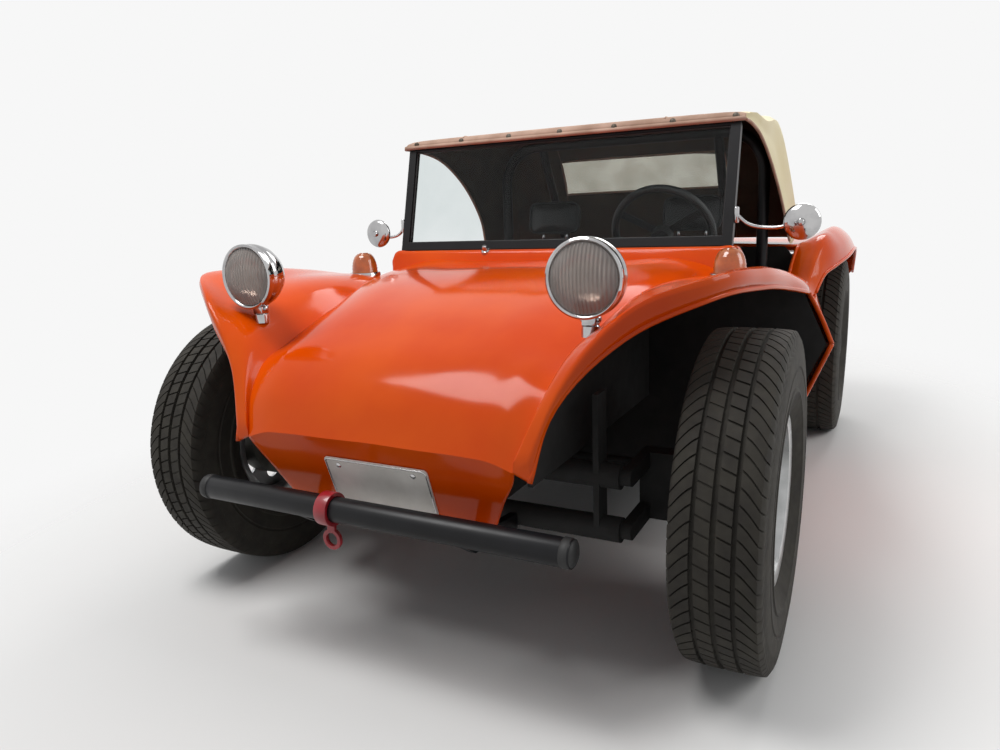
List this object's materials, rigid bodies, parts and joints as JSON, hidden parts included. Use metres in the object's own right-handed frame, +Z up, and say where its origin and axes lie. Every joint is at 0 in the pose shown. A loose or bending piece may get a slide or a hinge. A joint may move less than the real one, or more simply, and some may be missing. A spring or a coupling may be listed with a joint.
{
  "type": "dune buggy",
  "caption": "Open two-seat dune buggy with a moulded orange body, cream cloth top, upright windscreen, steered front wheels and an exposed rear engine.",
  "frame": {"origin": "on the ground, under the middle of the overall box", "axes": "+Z up, the buggy faces -Y, its left side is +X"},
  "size_m": [1.782, 3.167, 1.385],
  "materials": {
    "amber_lens": "translucent amber plastic",
    "black_gelcoat": "black painted fibreglass",
    "black_grip": "black moulded grip",
    "black_steel": "semi-gloss black paint",
    "black_vinyl": "black seat vinyl",
    "cast_grey": "rough cast metal",
    "chrome_trim": "polished chrome plate",
    "clear_glass": "clear glass",
    "clear_vinyl": "clear flexible vinyl",
    "cream_canvas": "cream coated canvas",
    "exhaust_steel": "heat dulled steel",
    "orange_gelcoat": "glossy orange gelcoat over fibreglass",
    "plate_white": "blank white enamel",
    "red_lens": "translucent red plastic",
    "red_paint": "red paint",
    "tyre_rubber": "matt black tyre rubber",
    "wheel_silver": "cast alloy, satin"
  },
  "bodies": {
    "chassis": {"bulkheads": "black_gelcoat", "carburettor": "chrome_trim", "dash_panel": "black_gelcoat", "engine": "cast_grey", "exhaust": "exhaust_steel", "fan_shroud": "black_steel", "floor_levers": "chrome_trim", "floor_pan": "black_steel", "front_arms": "black_steel", "front_beam": "black_steel", "front_bumper": "black_steel", "front_fenders": "orange_gelcoat", "headlamp_lenses": "clear_glass", "headlamps": "chrome_trim", "hood": "orange_gelcoat", "inner_walls": "black_gelcoat", "mirrors": "chrome_trim", "number_plate": "plate_white", "pedals": "black_steel", "rear_bumper": "black_steel", "rear_deck": "orange_gelcoat", "rear_fenders": "orange_gelcoat", "rear_frame": "black_steel", "roll_bar": "black_steel", "screen_frame": "black_steel", "screen_glass": "clear_glass", "seat_left": "black_vinyl", "seat_rails": "black_steel", "seat_right": "black_vinyl", "soft_top": "cream_canvas", "steering_column": "black_steel", "tail_lamps": "red_lens", "top_window": "clear_vinyl", "tow_hook": "red_paint", "transaxle": "cast_grey", "tub_sides": "orange_gelcoat", "turn_lamps": "amber_lens"},
    "steering_wheel": {"steering_wheel": "black_grip"},
    "knuckle_left": {"knuckle_left": "black_steel"},
    "knuckle_right": {"knuckle_right": "black_steel"},
    "track_rod": {"track_rod": "black_steel"},
    "wheel_front_left": {"rim_front_left": "wheel_silver", "tyre_front_left": "tyre_rubber", "drum_front_left": "cast_grey"},
    "wheel_front_right": {"rim_front_right": "wheel_silver", "tyre_front_right": "tyre_rubber", "drum_front_right": "cast_grey"},
    "wheel_rear_left": {"rim_rear_left": "wheel_silver", "tyre_rear_left": "tyre_rubber", "drum_rear_left": "cast_grey"},
    "wheel_rear_right": {"rim_rear_right": "wheel_silver", "tyre_rear_right": "tyre_rubber", "drum_rear_right": "cast_grey"}
  },
  "joints": [
    {"name": "steering_turn", "type": "hinge", "parent": "chassis", "child": "steering_wheel", "pos_m": [0.3, -0.1685, 0.973], "axis": [0, 0.891, 0.454], "range_deg": [-450, 450]},
    {"name": "knuckle_left_steer", "type": "hinge", "parent": "chassis", "child": "knuckle_left", "pos_m": [0.64, -1.0735, 0.395], "axis": [0, 0, 1], "range_deg": [-28.5, 28.5]},
    {"name": "knuckle_right_steer", "type": "hinge", "parent": "chassis", "child": "knuckle_right", "pos_m": [-0.64, -1.0735, 0.395], "axis": [0, 0, 1], "range_deg": [-28.5, 28.5]},
    {"name": "track_rod_shift", "type": "slide", "parent": "chassis", "child": "track_rod", "axis": [1, 0, 0], "range_m": [-0.055, 0.055]},
    {"name": "wheel_front_left_spin", "type": "hinge", "parent": "knuckle_left", "child": "wheel_front_left", "pos_m": [0.7525, -1.0735, 0.395], "axis": [1, 0, 0], "continuous": true},
    {"name": "wheel_front_right_spin", "type": "hinge", "parent": "knuckle_right", "child": "wheel_front_right", "pos_m": [-0.7525, -1.0735, 0.395], "axis": [1, 0, 0], "continuous": true},
    {"name": "wheel_rear_left_spin", "type": "hinge", "parent": "chassis", "child": "wheel_rear_left", "pos_m": [0.715, 0.9585, 0.4], "axis": [1, 0, 0], "continuous": true},
    {"name": "wheel_rear_right_spin", "type": "hinge", "parent": "chassis", "child": "wheel_rear_right", "pos_m": [-0.715, 0.9585, 0.4], "axis": [1, 0, 0], "continuous": true}
  ],
  "couplings": [
    {"joint": "knuckle_left_steer", "follows": "steering_turn", "ratio": 0.062222},
    {"joint": "knuckle_right_steer", "follows": "steering_turn", "ratio": 0.062222},
    {"joint": "track_rod_shift", "follows": "steering_turn", "m_per_rad": -0.0068444}
  ]
}
